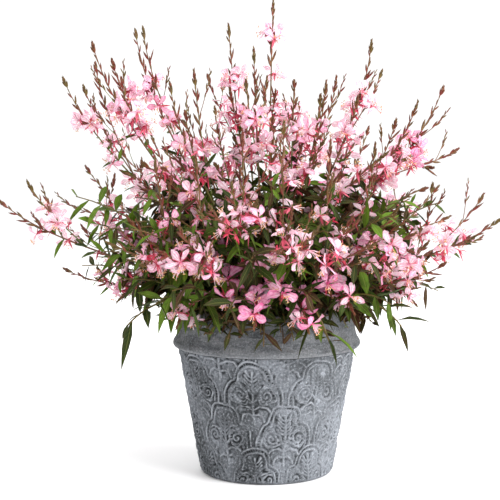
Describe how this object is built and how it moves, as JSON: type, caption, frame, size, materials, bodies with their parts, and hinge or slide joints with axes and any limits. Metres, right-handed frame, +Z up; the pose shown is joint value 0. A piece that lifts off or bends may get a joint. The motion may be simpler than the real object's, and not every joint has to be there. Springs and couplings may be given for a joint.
{
  "type": "potted gaura",
  "caption": "Bushy gaura in flower, with arching wands of pink butterfly-like blooms over narrow leaves, in a round tapered pot with a banded rim.",
  "frame": {"origin": "centre of the pot's flat underside", "axes": "+Z up along the pot's axis, -Y towards the side the plant is seen from"},
  "size_m": [0.534, 0.47, 0.503],
  "materials": {
    "pot": "matte",
    "soil": "matte",
    "foliage": "satin",
    "flowers": "satin"
  },
  "bodies": {
    "root": {"pot": "pot", "soil": "soil", "leafy_stem_01": "foliage", "leafy_stem_02": "foliage", "leafy_stem_03": "foliage", "leafy_stem_04": "foliage", "leafy_stem_05": "foliage", "leafy_stem_06": "foliage", "leafy_stem_07": "foliage", "leafy_stem_08": "foliage", "leafy_stem_09": "foliage", "leafy_stem_10": "foliage", "leafy_stem_11": "foliage", "leafy_stem_12": "foliage", "leafy_stem_13": "foliage", "leafy_stem_14": "foliage", "leafy_stem_15": "foliage", "leafy_stem_16": "foliage", "leafy_stem_17": "foliage", "leafy_stem_18": "foliage", "leafy_stem_19": "foliage", "leafy_stem_20": "foliage", "leafy_stem_21": "foliage", "leafy_stem_22": "foliage", "leafy_stem_23": "foliage", "leafy_stem_24": "foliage", "leafy_stem_25": "foliage", "leafy_stem_26": "foliage", "leafy_stem_27": "foliage", "flower_spray_01": "flowers", "flower_spray_02": "flowers", "flower_spray_03": "flowers", "flower_spray_04": "flowers", "flower_spray_05": "flowers", "flower_spray_06": "flowers", "flower_spray_07": "flowers", "flower_spray_08": "flowers", "flower_spray_09": "flowers", "flower_spray_10": "flowers", "flower_spray_11": "flowers", "flower_spray_12": "flowers", "flower_spray_13": "flowers", "flower_spray_14": "flowers", "flower_spray_15": "flowers", "flower_spray_16": "flowers", "flower_spray_17": "flowers", "flower_spray_18": "flowers", "flower_spray_19": "flowers", "flower_spray_20": "flowers", "flower_spray_21": "flowers", "flower_spray_22": "flowers", "flower_spray_23": "flowers", "flower_spray_24": "flowers", "flower_spray_25": "flowers", "flower_spray_26": "flowers", "flower_spray_27": "flowers", "rim_shoot_01": "foliage", "rim_shoot_02": "foliage", "rim_shoot_03": "foliage", "rim_shoot_04": "foliage"}
  },
  "joints": []
}
